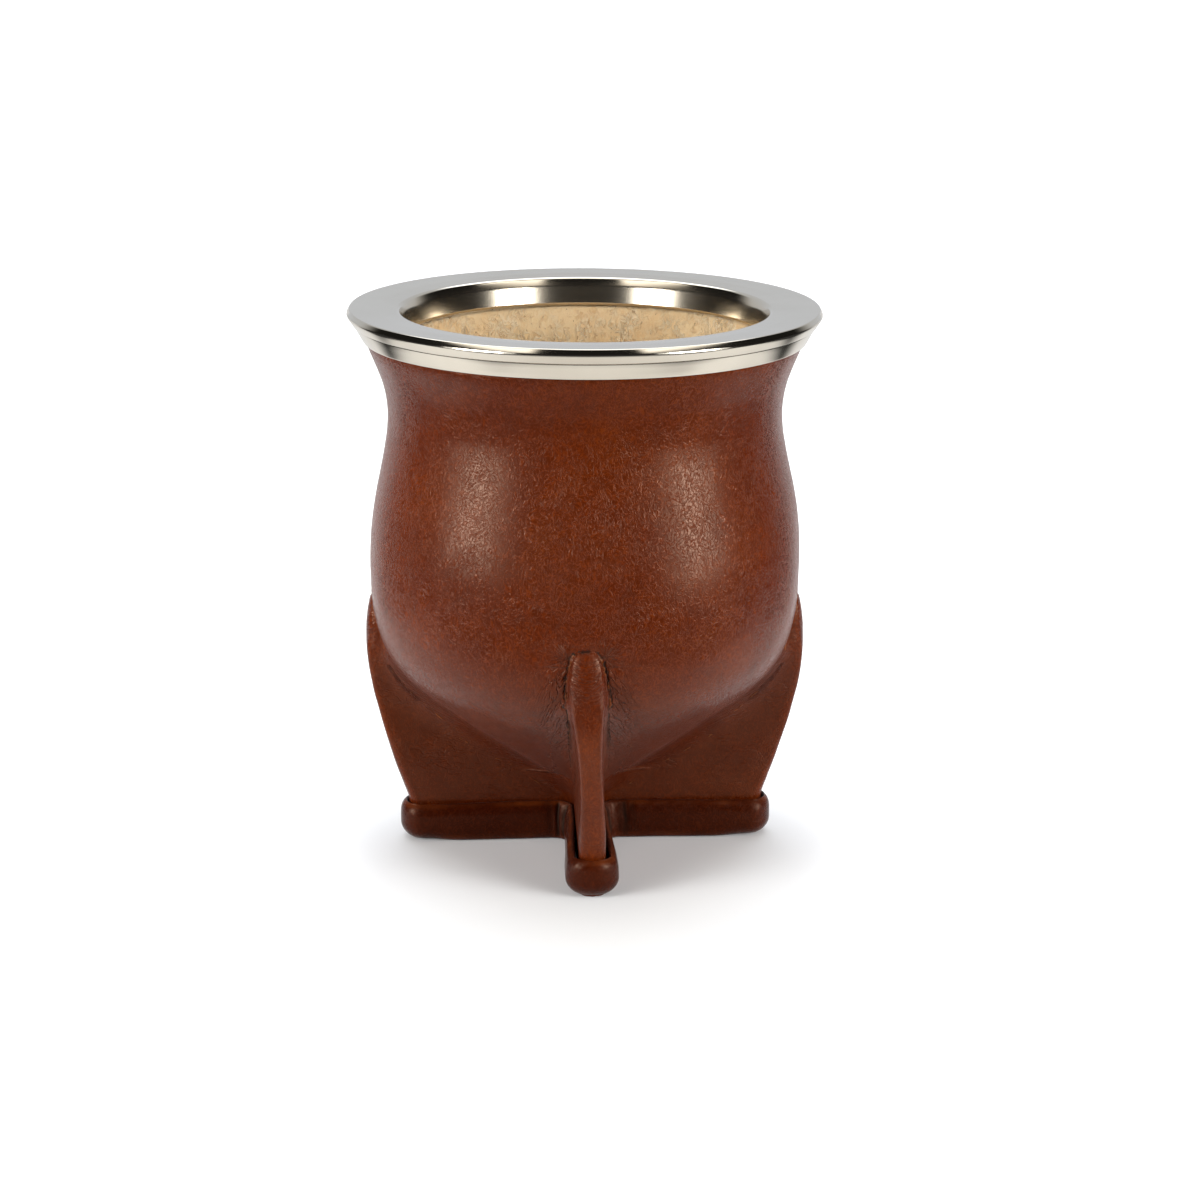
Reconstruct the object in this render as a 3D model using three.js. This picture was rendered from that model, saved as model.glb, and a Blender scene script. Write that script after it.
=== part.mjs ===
// A leather-covered calabash cup for mate, with a spun metal rim and four leather fins as feet.
// Millimetres, +Z up. Origin: on the axis of the cup, in the plane that the feet stand on.
// The four fins run along +X, -X, +Y and -Y.
//
// Pieces
//   rim           the spun sheet-metal mouth ring: a rolled outer edge, a broad top, a collar inside and a skirt outside
//   gourd         the dried calabash, an open bowl with a narrower neck, cut off level under the rim
//   leather_cover the leather drawn over the gourd, with the four fins that carry it and the cross that they make below
//   foot_strap    the thick leather band round the foot of the cross
import * as THREE from "three";

// ---------- driving dimensions ----------
const RIM_TOP = 112.0; // height of the whole cup
const RIM_R = 47.5; // outer radius of the rim
const MOUTH_R = 36.2; // radius of the mouth, inside the collar
const SKIRT_Z = 105.75; // lower edge of the rim's skirt
const COLLAR_Z = 105.95; // lower edge of the collar inside
const SHEET = 0.6; // metal thickness

const LEATHER = 1.8; // thickness of the leather on the gourd
const CLEAR = 0.35; // gap between pieces that touch
const COVER_TOP = 109.2; // the leather's upper edge, inside the rim
const GOURD_TOP = 109.7; // the gourd's cut edge, inside the rim

const FIN_TOP = 52.6; // where the fins leave the belly
const CROSS_Z = 9.0; // below this the cover is only the cross of the fins
const TWIST_DEG = -1.9; // the fins' upper ends stand turned a little against the feet

const STRAP_H = 7.9; // height of the band round the feet
const STRAP_T = 1.15; // its thickness
const STRAP_TIP = 38.75; // how far it reaches along each arm
const STRAP_HALF_LOW = 5.0; // its half width at the floor
const STRAP_HALF_TOP = 4.2; // and at its upper edge, where it leans on the fins
const TOE_FLARE_LOW = 0.1; // how much wider the toes are than the root
const TOE_FLARE_TOP = 0.2;

// radius of the leather's outer face by height
const BODY = [
  [0, 2.2],
  [8, 2.4],
  [10, 3.4],
  [12.9, 6.2],
  [17.9, 12.7],
  [22.9, 19.4],
  [27.9, 26.1],
  [31.5, 31.0],
  [35, 35.4],
  [40, 39.9],
  [45, 42.25],
  [50, 43.3],
  [55, 43.75],
  [60, 43.88],
  [65, 43.72],
  [70, 43.22],
  [75, 42.38],
  [80, 41.3],
  [84, 40.5],
  [88, 39.9],
  [91, 39.76],
  [94, 40.0],
  [97, 40.6],
  [100, 41.6],
  [102.5, 42.6],
  [104.5, 43.3],
  [106, 43.45],
  [COVER_TOP, 43.45],
];
// reach of the fins' outer edge by height
const REACH = [
  [0, 36.7],
  [4, 36.8],
  [8, 37.0],
  [11.9, 38.3],
  [17.2, 40.1],
  [22.5, 41.7],
  [27.8, 43.1],
  [33, 44.3],
  [38.2, 45.0],
  [42, 45.25],
  [45.5, 45.15],
  [48.5, 44.8],
  [51, 44.25],
  [FIN_TOP, 43.85],
];
// half thickness of the fins by height
const HALF = [
  [0, 2.6],
  [8, 2.7],
  [16, 2.65],
  [24, 2.6],
  [30, 2.75],
  [36, 3.2],
  [42, 3.6],
  [48, 3.6],
  [FIN_TOP, 3.2],
];
// radius of the corners of the fins' outer edge by height
const CORNER = [
  [0, 2.5],
  [16, 2.3],
  [30, 2.0],
  [42, 1.7],
  [FIN_TOP, 1.4],
];
// radius of the valley between fin and belly by height
const VALLEY = [
  [0, 2.0],
  [8, 2.2],
  [10, 3.8],
  [12, 7.0],
  [15, 11.5],
  [20, 15.5],
  [25, 16.0],
  [30, 12.6],
  [34, 9.2],
  [37, 6.8],
  [40, 4.8],
  [43, 3.0],
  [46, 2.0],
  [49, 1.5],
  [FIN_TOP, 1.2],
];
// inside of the gourd: height, radius
const CAVITY = [
  [104.2, 36.0],
  [99, 35.0],
  [92, 33.9],
  [84, 34.4],
  [74, 36.7],
  [64, 38.05],
  [53, 37.5],
  [43, 34.1],
  [36, 28.2],
  [31.5, 20.2],
  [28.8, 9.0],
];
const CAVITY_FLOOR = 28.2;
// underside of the gourd: height, radius
const GOURD_UNDER = [
  [22.2, 7.5],
  [25, 17.5],
  [30.5, 27.0],
];

// heights at which the gourd's outside and the cover's inside bend
const GOURD_LEVELS = [37, 45, 56, 68, 78, 88, 98, 106.5];
// heights of the cover's sections, with fins and above them
const FIN_LEVELS = [0, 8.5, 12, 16, 20.5, 25, 30, 35, 40.5, 45.5, 49.5, FIN_TOP];
const BELLY_LEVELS = [53.5, 60, 68, 76, 84, 91, 98, COVER_TOP - 3.9, COVER_TOP];

const ROUND_SEGMENTS = 40; // of the rim and the gourd
const COVER_REST = 6; // points of the cover's section after the fin's corner

// ---------- helpers ----------
// Monotone cubic through [x, y] stations.
function curve(stations) {
  const n = stations.length;
  const x = stations.map((s) => s[0]),
    y = stations.map((s) => s[1]);
  const d = [],
    m = [];
  for (let i = 0; i < n - 1; i++) d.push((y[i + 1] - y[i]) / (x[i + 1] - x[i]));
  m.push(d[0]);
  for (let i = 1; i < n - 1; i++) {
    if (d[i - 1] * d[i] <= 0) m.push(0);
    else {
      const a = x[i] - x[i - 1],
        b = x[i + 1] - x[i];
      const w1 = 2 * b + a,
        w2 = b + 2 * a;
      m.push((w1 + w2) / (w1 / d[i - 1] + w2 / d[i]));
    }
  }
  m.push(d[n - 2]);
  return (q) => {
    if (q <= x[0]) return y[0];
    if (q >= x[n - 1]) return y[n - 1];
    let i = 0;
    while (q > x[i + 1]) i++;
    const h = x[i + 1] - x[i],
      t = (q - x[i]) / h;
    const t2 = t * t,
      t3 = t2 * t;
    return (
      (2 * t3 - 3 * t2 + 1) * y[i] +
      (t3 - 2 * t2 + t) * h * m[i] +
      (-2 * t3 + 3 * t2) * y[i + 1] +
      (t3 - t2) * h * m[i + 1]
    );
  };
}
const body = curve(BODY),
  reach = curve(REACH),
  half = curve(HALF),
  corner = curve(CORNER),
  valley = curve(VALLEY);

// Points a share of the way along a drawn line of [x, y, weight of the step that ends there].
function along(line, shares) {
  const at = [0];
  for (let i = 1; i < line.length; i++) {
    const step = Math.hypot(
      line[i][0] - line[i - 1][0],
      line[i][1] - line[i - 1][1],
    );
    at.push(at[i - 1] + step * (1 + line[i][2]));
  }
  let j = 0;
  return shares.map((share) => {
    const want = at[at.length - 1] * share;
    while (j < at.length - 2 && at[j + 1] < want) j++;
    const f = (want - at[j]) / Math.max(1e-9, at[j + 1] - at[j]);
    return [
      line[j][0] + (line[j + 1][0] - line[j][0]) * f,
      line[j][1] + (line[j + 1][1] - line[j][1]) * f,
    ];
  });
}

// An eighth of a cross-shaped section, from the middle of the end of the arm on +X to the diagonal.
// R is the round body, F the arm's reach, t its half thickness, rc the radius of its end's corner
// and rho the radius of the valley. turns is how many points the corner has, rest how many follow.
function octant(R, F, t, rc, rho, turns, rest) {
  const kx = F - rc,
    ky = t - rc; // centre of the corner
  let ex, ey, tipTurn; // centre of the valley, and how far the corner turns
  const diagonal = (t + rho) / (R + rho) > Math.SQRT1_2;
  const straight = diagonal ? t + rho : Math.sqrt((R + rho) ** 2 - (t + rho) ** 2);
  if (straight <= kx) {
    ex = straight;
    ey = t + rho;
    tipTurn = Math.PI / 2;
  } else {
    const far = Math.hypot(kx, ky),
      A = R + rho,
      B = rc + rho;
    const along = (far * far + A * A - B * B) / (2 * far);
    const off = Math.sqrt(Math.max(0, A * A - along * along));
    ex = (along * kx - off * ky) / far;
    ey = (along * ky + off * kx) / far;
    tipTurn = Math.atan2(ey - ky, ex - kx);
  }
  const out = [];
  if (ky > 1e-6) out.push([F, 0]);
  for (let i = 0; i <= turns; i++) {
    const a = tipTurn * (i / turns);
    out.push([kx + rc * Math.cos(a), ky + rc * Math.sin(a)]);
  }
  const line = [],
    from = tipTurn - Math.PI,
    end = diagonal ? (-3 * Math.PI) / 4 : Math.atan2(ey, ex) - Math.PI;
  for (let i = 0; i <= 32; i++) {
    const a = from + (end - from) * (i / 32);
    line.push([ex + rho * Math.cos(a), ey + rho * Math.sin(a), 4 / rho]);
  }
  if (!diagonal) {
    const a0 = Math.atan2(ey, ex);
    for (let i = 1; i <= 48; i++) {
      const a = a0 + (Math.PI / 4 - a0) * (i / 48);
      line.push([R * Math.cos(a), R * Math.sin(a), 0]);
    }
  }
  // without a straight side the valley begins where the corner ends, so its points start further on
  const skip = 0.5 * Math.max(0, 1 - Math.max(0, kx - ex) / 3);
  out.push(
    ...along(
      line,
      Array.from({ length: rest }, (_, i) => (i + skip) / (rest - 1 + skip)),
    ),
  );
  return out;
}

// The whole section from its eighth: mirrored at the diagonal, then turned four times.
function section(eighth) {
  const quarter = eighth.slice();
  for (let i = eighth.length - 2; i > 0; i--)
    quarter.push([eighth[i][1], eighth[i][0]]);
  const ring = [];
  for (let q = 0; q < 4; q++) {
    const a = (q * Math.PI) / 2,
      c = Math.round(Math.cos(a)),
      s = Math.round(Math.sin(a));
    for (const [x, y] of quarter) ring.push([x * c - y * s, x * s + y * c]);
  }
  return ring;
}

// A closed mesh from a stack of rings with the same number of points.
// start and end are points that close it, or null where the stack closes on itself.
function stack(rings, start, end) {
  const n = rings[0].length,
    position = [],
    index = [];
  for (const ring of rings) for (const p of ring) position.push(...p);
  const at = (r, i) => r * n + (i % n);
  const pairs = start ? rings.length - 1 : rings.length;
  for (let r = 0; r < pairs; r++) {
    const s = (r + 1) % rings.length;
    for (let i = 0; i < n; i++) {
      const a = at(r, i),
        b = at(r, i + 1),
        c = at(s, i + 1),
        d = at(s, i);
      index.push(a, b, c, a, c, d);
    }
  }
  if (start) {
    const first = position.length / 3;
    position.push(...start, ...end);
    const last = rings.length - 1;
    for (let i = 0; i < n; i++) {
      index.push(first, at(0, i + 1), at(0, i));
      index.push(first + 1, at(last, i), at(last, i + 1));
    }
  }
  const g = new THREE.BufferGeometry();
  g.setAttribute("position", new THREE.Float32BufferAttribute(position, 3));
  g.setIndex(index);
  g.computeVertexNormals();
  return g;
}

const smooth = (a, b, x) => {
  const t = Math.min(1, Math.max(0, (x - a) / (b - a)));
  return t * t * (3 - 2 * t);
};

// A solid of revolution about +Z from a closed profile of [radius, height].
function turned(profile, segments) {
  const points = profile.map(([r, z]) => new THREE.Vector2(r, z));
  const g = new THREE.LatheGeometry(points, segments);
  g.rotateX(Math.PI / 2);
  return g;
}

const piece = (name, geometry, color, roughness, metalness) => {
  const mesh = new THREE.Mesh(
    geometry,
    new THREE.MeshStandardMaterial({ color, roughness, metalness }),
  );
  mesh.name = name;
  return mesh;
};

// ---------- rim ----------
// One bent sheet: skirt, rolled edge, broad top that dips towards the mouth, collar.
function rimProfile() {
  const S = SKIRT_Z,
    C = COLLAR_Z,
    T = RIM_TOP,
    R = RIM_R,
    M = MOUTH_R;
  const outside = [
    [R - 3.0, S],
    [R - 2.4, S + 1.2],
    [R - 2.0, S + 2.6],
    [R - 1.3, S + 3.6],
    [R - 0.35, S + 4.6],
    [R, T - 0.9],
    [R - 0.15, T - 0.35],
    [R - 0.75, T],
    [(R + M) / 2, T - 0.15],
    [M + 2.0, T - 0.5],
    [M + 0.7, T - 0.95],
    [M + 0.1, T - 1.9],
    [M, T - 3.4],
    [M + 0.2, C],
  ];
  const inside = [
    [M + 0.1 + SHEET, C + 0.1],
    [M + 0.1 + SHEET, T - 1.7],
    [M + 2.0, T - 1.15],
    [R - 1.1, T - 0.75],
    [R - 0.95, T - 1.15],
    [R - 2.45, S + 2.8],
    [R - 3.55, S],
  ];
  return [...outside, ...inside, outside[0]];
}

// ---------- gourd ----------
function gourdProfile() {
  const outer = (z) => body(z) - LEATHER - CLEAR;
  const seat = MOUTH_R + 0.1 + SHEET + CLEAR;
  const inside = [
    [0, CAVITY_FLOOR],
    ...CAVITY.slice()
      .reverse()
      .map(([z, r]) => [r, z]),
    [MOUTH_R + 0.3, COLLAR_Z - CLEAR],
    [seat, COLLAR_Z - CLEAR],
    [seat, GOURD_TOP],
  ];
  const outside = [
    [outer(COVER_TOP), GOURD_TOP],
    ...GOURD_LEVELS.slice()
      .reverse()
      .map((z) => [outer(z), z]),
    ...GOURD_UNDER.slice()
      .reverse()
      .map(([z, r]) => [r, z]),
    [0, GOURD_UNDER[0][0] - 0.4],
  ];
  return [...inside, ...outside].reverse();
}

// ---------- leather cover ----------
function coverGeometry() {
  const turn = (z) =>
    THREE.MathUtils.degToRad(TWIST_DEG) * smooth(CROSS_Z, FIN_TOP, z);
  const fins = FIN_LEVELS.map((z) =>
    octant(body(z), reach(z), half(z), corner(z), valley(z), 2, COVER_REST),
  );
  // above the fins the section is round; its points start where the fins' points ended
  const last = fins[fins.length - 1].map(([x, y]) => Math.atan2(y, x));
  const belly = BELLY_LEVELS.map((z) => {
    const even = smooth(FIN_TOP, FIN_TOP + 22, z);
    return last.map((a, i) => {
      const b = a + ((Math.PI / 4) * (i / (last.length - 1)) - a) * even;
      return [body(z) * Math.cos(b), body(z) * Math.sin(b)];
    });
  });
  const levels = [...FIN_LEVELS, ...BELLY_LEVELS];
  const rings = [...fins, ...belly].map((eighth, i) => {
    const z = levels[i],
      c = Math.cos(turn(z)),
      s = Math.sin(turn(z));
    return section(eighth).map(([x, y]) => [x * c - y * s, x * s + y * c, z]);
  });
  // the hollow that holds the gourd, on the same levels as the gourd's outside
  const n = rings[0].length,
    a0 = THREE.MathUtils.degToRad(TWIST_DEG);
  const circle = (r, z) =>
    Array.from({ length: n }, (_, i) => {
      const a = a0 + (2 * Math.PI * i) / n;
      return [r * Math.cos(a), r * Math.sin(a), z];
    });
  const hollow = [
    [body(COVER_TOP) - LEATHER, COVER_TOP],
    ...GOURD_LEVELS.slice()
      .reverse()
      .map((z) => [body(z) - LEATHER, z]),
    ...GOURD_UNDER.slice()
      .reverse()
      .map(([z, r]) => [r + CLEAR * 0.7, z - CLEAR * 0.9]),
  ];
  for (const [r, z] of hollow) rings.push(circle(r, z));
  return stack(rings, [0, 0, 0], [0, 0, GOURD_UNDER[0][0] - 0.4 - CLEAR]);
}

// ---------- foot strap ----------
function strapGeometry() {
  // the band's own section: how far in from its outer face, and at what height
  const band = [
    [0.95, 0],
    [0.35, 0.8],
    [0, 2.3],
    [0, STRAP_H - 1.5],
    [0.3, STRAP_H - 0.25],
    [0.65, STRAP_H],
    [STRAP_T - 0.1, STRAP_H - 0.3],
    [STRAP_T, STRAP_H - 1.2],
    [STRAP_T, 2.5],
    [STRAP_T + 0.5, 0],
  ];
  const rings = band.map(([inset, z]) => {
    const u = z / STRAP_H;
    const h = STRAP_HALF_LOW + (STRAP_HALF_TOP - STRAP_HALF_LOW) * u - inset;
    const flare = TOE_FLARE_LOW + (TOE_FLARE_TOP - TOE_FLARE_LOW) * u;
    const eighth = octant(0, STRAP_TIP - inset, h, h, 2.4 + inset, 3, 4);
    return section(
      eighth.map(([x, y]) => [x, y * (1 + flare * smooth(11, 33, x))]),
    ).map(([x, y]) => [x, y, z]);
  });
  return stack(rings, null, null);
}

const cup = new THREE.Group();
cup.add(piece("rim", turned(rimProfile(), ROUND_SEGMENTS), 0xc9c8c4, 0.18, 1.0));
cup.add(piece("gourd", turned(gourdProfile(), ROUND_SEGMENTS), 0xd8b98a, 0.85, 0));
cup.add(piece("leather_cover", coverGeometry(), 0x6e3420, 0.42, 0));
cup.add(piece("foot_strap", strapGeometry(), 0x5a2814, 0.42, 0));

export default cup;
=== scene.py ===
# A leather-covered gourd cup for mate, seen from the front and a little above.
# Metres, +Z up. Sizes below are in millimetres until a mesh is made.
import math

import bpy
import numpy as np
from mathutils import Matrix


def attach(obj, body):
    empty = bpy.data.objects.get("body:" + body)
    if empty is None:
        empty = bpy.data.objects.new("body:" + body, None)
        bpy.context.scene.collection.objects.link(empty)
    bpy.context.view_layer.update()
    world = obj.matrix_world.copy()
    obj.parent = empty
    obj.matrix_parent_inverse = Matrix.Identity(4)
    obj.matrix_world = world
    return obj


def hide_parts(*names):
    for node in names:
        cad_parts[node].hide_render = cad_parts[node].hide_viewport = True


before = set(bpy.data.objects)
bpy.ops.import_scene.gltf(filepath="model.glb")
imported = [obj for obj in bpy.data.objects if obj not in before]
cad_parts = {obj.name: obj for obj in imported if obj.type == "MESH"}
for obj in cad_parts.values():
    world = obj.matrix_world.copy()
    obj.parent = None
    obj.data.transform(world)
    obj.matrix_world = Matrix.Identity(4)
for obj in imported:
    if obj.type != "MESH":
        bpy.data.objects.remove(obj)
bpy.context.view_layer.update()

scene = bpy.context.scene
MM = 0.001


# ---------------------------------------------------------------- numbers
def curve(stations):
    """Monotone cubic through (height, value) stations."""
    x = np.array([s[0] for s in stations], float)
    y = np.array([s[1] for s in stations], float)
    d = np.diff(y) / np.diff(x)
    m = [d[0]]
    for i in range(1, len(x) - 1):
        if d[i - 1] * d[i] <= 0:
            m.append(0.0)
        else:
            a, b = x[i] - x[i - 1], x[i + 1] - x[i]
            w1, w2 = 2 * b + a, b + 2 * a
            m.append((w1 + w2) / (w1 / d[i - 1] + w2 / d[i]))
    m.append(d[-1])
    m = np.array(m)

    def f(q):
        q = np.clip(np.asarray(q, float), x[0], x[-1])
        i = np.clip(np.searchsorted(x, q, side="right") - 1, 0, len(x) - 2)
        h = x[i + 1] - x[i]
        t = (q - x[i]) / h
        t2, t3 = t * t, t * t * t
        return (
            (2 * t3 - 3 * t2 + 1) * y[i]
            + (t3 - 2 * t2 + t) * h * m[i]
            + (-2 * t3 + 3 * t2) * y[i + 1]
            + (t3 - t2) * h * m[i + 1]
        )

    return f


def smooth(a, b, x):
    t = np.clip((np.asarray(x, float) - a) / (b - a), 0, 1)
    return t * t * (3 - 2 * t)


def lattice(ix, iy, iz, seed):
    """A fixed number from -1 to 1 for each whole-number point."""
    h = (
        ix.astype(np.int64) * 374761393
        + iy.astype(np.int64) * 668265263
        + iz.astype(np.int64) * 1274126177
        + seed * 974634777
    ) & 0xFFFFFFFF
    h = ((h ^ (h >> 13)) * 1103515245) & 0xFFFFFFFF
    h = ((h ^ (h >> 16)) * 2246822519) & 0xFFFFFFFF
    h ^= h >> 15
    return (h & 0xFFFFFF) / float(0xFFFFFF) * 2 - 1


def noise(p, seed=0):
    """Smooth value noise of points (n, 3), about -1 to 1, one bump per unit."""
    p = np.asarray(p, float)
    base = np.floor(p)
    f = p - base
    u = f * f * f * (f * (f * 6 - 15) + 10)
    i = base.astype(np.int64)
    total = 0.0
    for dx in (0, 1):
        wx = u[:, 0] if dx else 1 - u[:, 0]
        for dy in (0, 1):
            wy = u[:, 1] if dy else 1 - u[:, 1]
            for dz in (0, 1):
                wz = u[:, 2] if dz else 1 - u[:, 2]
                total = total + wx * wy * wz * lattice(
                    i[:, 0] + dx, i[:, 1] + dy, i[:, 2] + dz, seed
                )
    return total


def fractal(p, seed=0, octaves=3, gain=0.5):
    total, amp = 0.0, 1.0
    for o in range(octaves):
        total = total + amp * noise(np.asarray(p) * 2.03**o + 17.3 * o, seed + o)
        amp *= gain
    return total


# ---------------------------------------------------------------- sizes, mm
RIM_TOP, RIM_R, MOUTH_R, SKIRT_Z, COLLAR_Z = 112.0, 47.5, 36.2, 105.75, 105.95
COVER_TOP, FIN_TOP, TWIST = 109.0, 52.7, math.radians(-1.9)
STRAP_H, STRAP_TIP, STRAP_T = 7.9, 38.75, 1.15

body = curve([
    (0, 2.2), (8, 2.4), (10, 3.4), (12.9, 6.2), (17.9, 12.7), (22.9, 19.4), (27.9, 26.1),
    (31.5, 31.0), (35, 35.4), (40, 39.9), (45, 42.25), (50, 43.3), (55, 43.75), (60, 43.88),
    (65, 43.72), (70, 43.22), (75, 42.38), (80, 41.3), (84, 40.5), (88, 39.9), (91, 39.76),
    (94, 40.0), (97, 40.6), (100, 41.6), (102.5, 42.6), (104.3, 43.35), (105.6, 43.75),
    (106.4, 43.6), (109.2, 43.4),
])
reach = curve([
    (0, 36.7), (4, 36.8), (8, 37.0), (11.9, 38.3), (17.2, 40.1), (22.5, 41.7), (27.8, 43.1),
    (33, 44.3), (38.2, 45.0), (42, 45.22), (45.5, 45.15), (48.5, 44.85), (50.5, 44.5),
    (51.7, 44.2), (52.4, 43.85), (FIN_TOP, 43.55),
])
# half width of the fin's outer face, and of the fin where it meets the belly
face_half = curve([
    (0, 2.4), (8, 2.65), (14, 2.6), (22, 2.3), (28, 2.22), (32, 2.3), (36, 2.55), (40.5, 2.95), (43.5, 3.3),
    (46.5, 3.4), (48.6, 3.15), (50.6, 2.65), (51.6, 2.1), (52.2, 1.5), (FIN_TOP, 0.8),
])
root_half = curve([
    (0, 2.6), (8, 2.68), (14, 2.8), (22, 2.9), (28, 3.2), (32, 3.65), (36, 3.95), (40, 4.15), (43.5, 4.25),
    (46.5, 4.12), (48.6, 3.75), (50.6, 3.25), (51.6, 2.7), (52.2, 1.95), (FIN_TOP, 1.1),
])
corner_round = curve([(0, 1.9), (8, 2.0), (16, 1.6), (26, 1.0), (38, 1.0), (43, 1.7), (47, 2.4), (FIN_TOP, 2.2)])
valley = curve([(0, 2.0), (8, 2.4), (10, 4.0), (12, 7.5), (15, 12.0), (20, 16.0), (25, 16.5), (30, 13.0), (34, 9.5), (37, 7.0), (40, 4.8), (43, 2.8), (46, 1.4), (49, 0.7), (FIN_TOP, 0.35)])


# ---------------------------------------------------------------- the cover's section
N_FACE, N_CORNER, N_SIDE, N_VALLEY, N_BODY = 6, 5, 5, 6, 22


def arc(cx, cy, r, a0, a1, n):
    a = a0 + (a1 - a0) * np.linspace(0, 1, n + 1)
    return np.stack([cx + r * np.cos(a), cy + r * np.sin(a)], 1)


def eighth(z):
    """The outline from the middle of the +X fin's outer face to the diagonal, at height z."""
    R, F = float(body(z)), float(reach(z))
    wf, wr = float(face_half(z)), float(root_half(z))
    rho, rc = float(valley(z)), float(corner_round(z))
    crown = 0.18
    # the side runs from the face's corner B to the root C
    bx, by = F - crown, wf
    if R > wr * 1.5:
        cx = math.sqrt(R * R - wr * wr)
        cy = wr
    else:
        cx, cy = wr, wr
    if cx > bx - 0.25:
        cx = bx - 0.25
    sx, sy = bx - cx, by - cy
    length = math.hypot(sx, sy)
    tx, ty = sx / length, sy / length  # along the side, outwards
    nx, ny = -ty, tx  # away from the fin
    if ny < 0:
        nx, ny = -nx, -ny
    c = nx * bx + ny * by
    # the rounded corner between the face (nearly square to x) and the side
    rc = min(rc, wf * 0.9, length * 0.45 + 0.1)
    ox = bx - rc
    oy = (c - rc - nx * ox) / ny
    if oy < 0.02:
        oy = 0.02
    a_side = math.atan2(ny, nx)
    # the hollow between side and belly
    rho = min(rho, 0.25 + 1.2 * max(0.0, F - R) if R > 20 else rho)
    k2 = (R + rho) ** 2 - (c + rho) ** 2
    diagonal = True
    if k2 > 0:
        k = math.sqrt(k2)
        ex, ey = (c + rho) * nx + k * tx, (c + rho) * ny + k * ty
        diagonal = ey > ex
    if diagonal:
        q = (c + rho) / (nx + ny)
        ex = ey = q
    # where the hollow leaves the side
    vx, vy = ex - rho * nx, ey - rho * ny
    corner_end = (ox + rc * math.cos(a_side), oy + rc * math.sin(a_side))
    if vx > corner_end[0] - 0.05:
        # no straight side: the hollow starts at the corner
        vx, vy = corner_end[0] - 0.05, corner_end[1] + 0.02
    face_y = np.linspace(0, oy, N_FACE + 1)
    face_x = F - crown * (face_y / max(oy, 1e-6)) ** 2
    face = np.stack([face_x, face_y], 1)
    cor = arc(ox, oy, rc, 0, a_side, N_CORNER)
    cor[:, 0] += (face_x[-1] - (ox + rc)) * (1 - np.linspace(0, 1, N_CORNER + 1))
    side = np.linspace(corner_end, (vx, vy), N_SIDE + 1)
    a0 = math.atan2(vy - ey, vx - ex)
    a1 = -0.75 * math.pi if diagonal else math.atan2(-ey, -ex)
    if a0 > 0:
        a0 -= 2 * math.pi
    # hollow: from the side's direction to the belly's
    hol = arc(ex, ey, math.hypot(vx - ex, vy - ey), a0, a1, N_VALLEY)
    # fade the end on to the belly's circle
    if diagonal:
        last = hol[-1]
        split = np.linspace(0, 1, N_VALLEY + N_BODY + 1)
        a = a0 + (a1 - a0) * split
        rr = math.hypot(vx - ex, vy - ey)
        both = np.stack([ex + rr * np.cos(a), ey + rr * np.sin(a)], 1)
        return np.concatenate([face[:-1], cor[:-1], side[:-1], both])
    th0 = math.atan2(hol[-1][1], hol[-1][0])
    g = 1.085
    u = (g ** np.arange(N_BODY + 1) - 1) / (g**N_BODY - 1)
    th = th0 + (math.pi / 4 - th0) * u
    r0 = math.hypot(*hol[-1])
    rr = R + (r0 - R) * (1 - smooth(0, 0.15, u))
    bod = np.stack([rr * np.cos(th), rr * np.sin(th)], 1)
    return np.concatenate([face[:-1], cor[:-1], side[:-1], hol[:-1], bod])


def whole(part):
    """The closed section from its eighth."""
    mirror = part[-2:0:-1][:, ::-1]
    quarter = np.concatenate([part, mirror])
    out = []
    for q in range(4):
        c, s = round(math.cos(q * math.pi / 2)), round(math.sin(q * math.pi / 2))
        out.append(np.stack([quarter[:, 0] * c - quarter[:, 1] * s, quarter[:, 0] * s + quarter[:, 1] * c], 1))
    return np.concatenate(out)


def make_mesh(name, verts, faces, smooth_faces=True):
    """A piece from points in mm and faces."""
    me = bpy.data.meshes.new(name)
    me.from_pydata((np.asarray(verts) * MM).tolist(), [], faces)
    me.validate()
    me.update()
    if smooth_faces:
        me.polygons.foreach_set("use_smooth", [True] * len(me.polygons))
    ob = bpy.data.objects.new(name, me)
    scene.collection.objects.link(ob)
    return ob


def grid_faces(rows, cols, first=0, close_rows=False):
    """Quads of a stack of closed rings, outward when the rings turn counter-clockwise and rise."""
    r = np.arange(rows if close_rows else rows - 1)[:, None]
    i = np.arange(cols)[None, :]
    a = r * cols + i
    b = r * cols + (i + 1) % cols
    c = ((r + 1) % rows) * cols + (i + 1) % cols
    d = ((r + 1) % rows) * cols + i
    q = np.stack([a, b, c, d], -1).reshape(-1, 4) + first
    return q.tolist()


def ring_normals(P):
    """Outward unit normals of a stack of rings, P (rows, cols, 3)."""
    du = np.roll(P, -1, 1) - np.roll(P, 1, 1)
    dv = np.gradient(P, axis=0)
    n = np.cross(du, dv)
    return n / np.maximum(np.linalg.norm(n, axis=2, keepdims=True), 1e-9)


# ---------------------------------------------------------------- leather cover
def levels_between(stations):
    """Heights from (start, step) stations to the last height."""
    out = []
    for (a, step), (b, _) in zip(stations, stations[1:]):
        n = max(1, round((b - a) / step))
        out += list(a + (b - a) * np.arange(n) / n)
    out.append(stations[-1][0])
    return np.array(out)


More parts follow.
